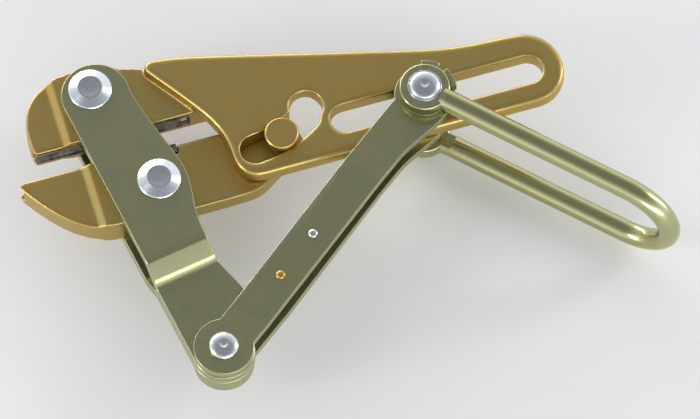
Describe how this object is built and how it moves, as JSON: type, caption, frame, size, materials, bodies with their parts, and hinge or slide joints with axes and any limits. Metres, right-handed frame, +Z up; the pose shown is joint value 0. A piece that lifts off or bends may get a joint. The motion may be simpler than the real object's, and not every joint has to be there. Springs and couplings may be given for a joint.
{
  "type": "parallel-jaw wire rope pulling grip",
  "caption": "Come-along cable grip: a lever pair closes a parallel jaw on a wire rope when its pulling bail runs along the slotted plate.",
  "frame": {"origin": "centre of the box's bottom, on the bench that the grip lies on", "axes": "+X along the rope from the jaw nose to the slotted plate's end, +Y towards the back of the upper jaw, +Z up from the bench"},
  "size_m": [0.3762, 0.221, 0.0788],
  "materials": {
    "gold_plating": "forged, yellow chromate over zinc, satin",
    "pale_plating": "pale greenish yellow chromate over zinc, satin",
    "bright_zinc": "bright zinc, semi-gloss",
    "insert_steel": "dark hardened steel, satin"
  },
  "bodies": {
    "frame": {"fixed_jaw_body": "gold_plating", "upper_jaw_insert": "insert_steel", "upper_insert_pin": "bright_zinc", "upper_pivot_sleeve": "bright_zinc"},
    "levers": {"front_lever": "pale_plating", "rear_lever": "pale_plating", "upper_pivot_rivet": "bright_zinc", "jaw_pivot_rivet": "bright_zinc", "link_pivot_rivet": "bright_zinc"},
    "lower_jaw": {"lower_jaw": "gold_plating", "lower_jaw_insert": "insert_steel", "lower_insert_pin": "bright_zinc", "guide_stud": "gold_plating", "jaw_pivot_sleeve": "bright_zinc"},
    "links": {"front_link": "pale_plating", "rear_link": "pale_plating", "link_button_plated": "gold_plating", "link_button_steel": "bright_zinc"},
    "bail": {"bail": "pale_plating", "bail_pin": "bright_zinc", "tab_washer": "pale_plating", "rear_spacer": "pale_plating"}
  },
  "joints": [
    {"name": "lever_swing", "type": "hinge", "parent": "frame", "child": "levers", "pos_m": [-0.13048, 0.09284, 0.0394], "axis": [0, 0, 1], "range_deg": [-8, 15]},
    {"name": "jaw_parallel", "type": "hinge", "parent": "levers", "child": "lower_jaw", "pos_m": [-0.10678, 0.02335, 0.0394], "axis": [0, 0, 1], "range_deg": [-16, 10]},
    {"name": "link_swing", "type": "hinge", "parent": "levers", "child": "links", "pos_m": [-0.09958, -0.09176, 0.0394], "axis": [0, 0, 1], "range_deg": [-20, 12]},
    {"name": "bail_swing", "type": "hinge", "parent": "links", "child": "bail", "pos_m": [0.06262, 0.02965, 0.0394], "axis": [0, 0, 1], "range_deg": [-75, 110]}
  ],
  "couplings": [
    {"joint": "jaw_parallel", "follows": "lever_swing", "ratio": -1},
    {"joint": "link_swing", "follows": "lever_swing", "ratio": -1.26}
  ]
}
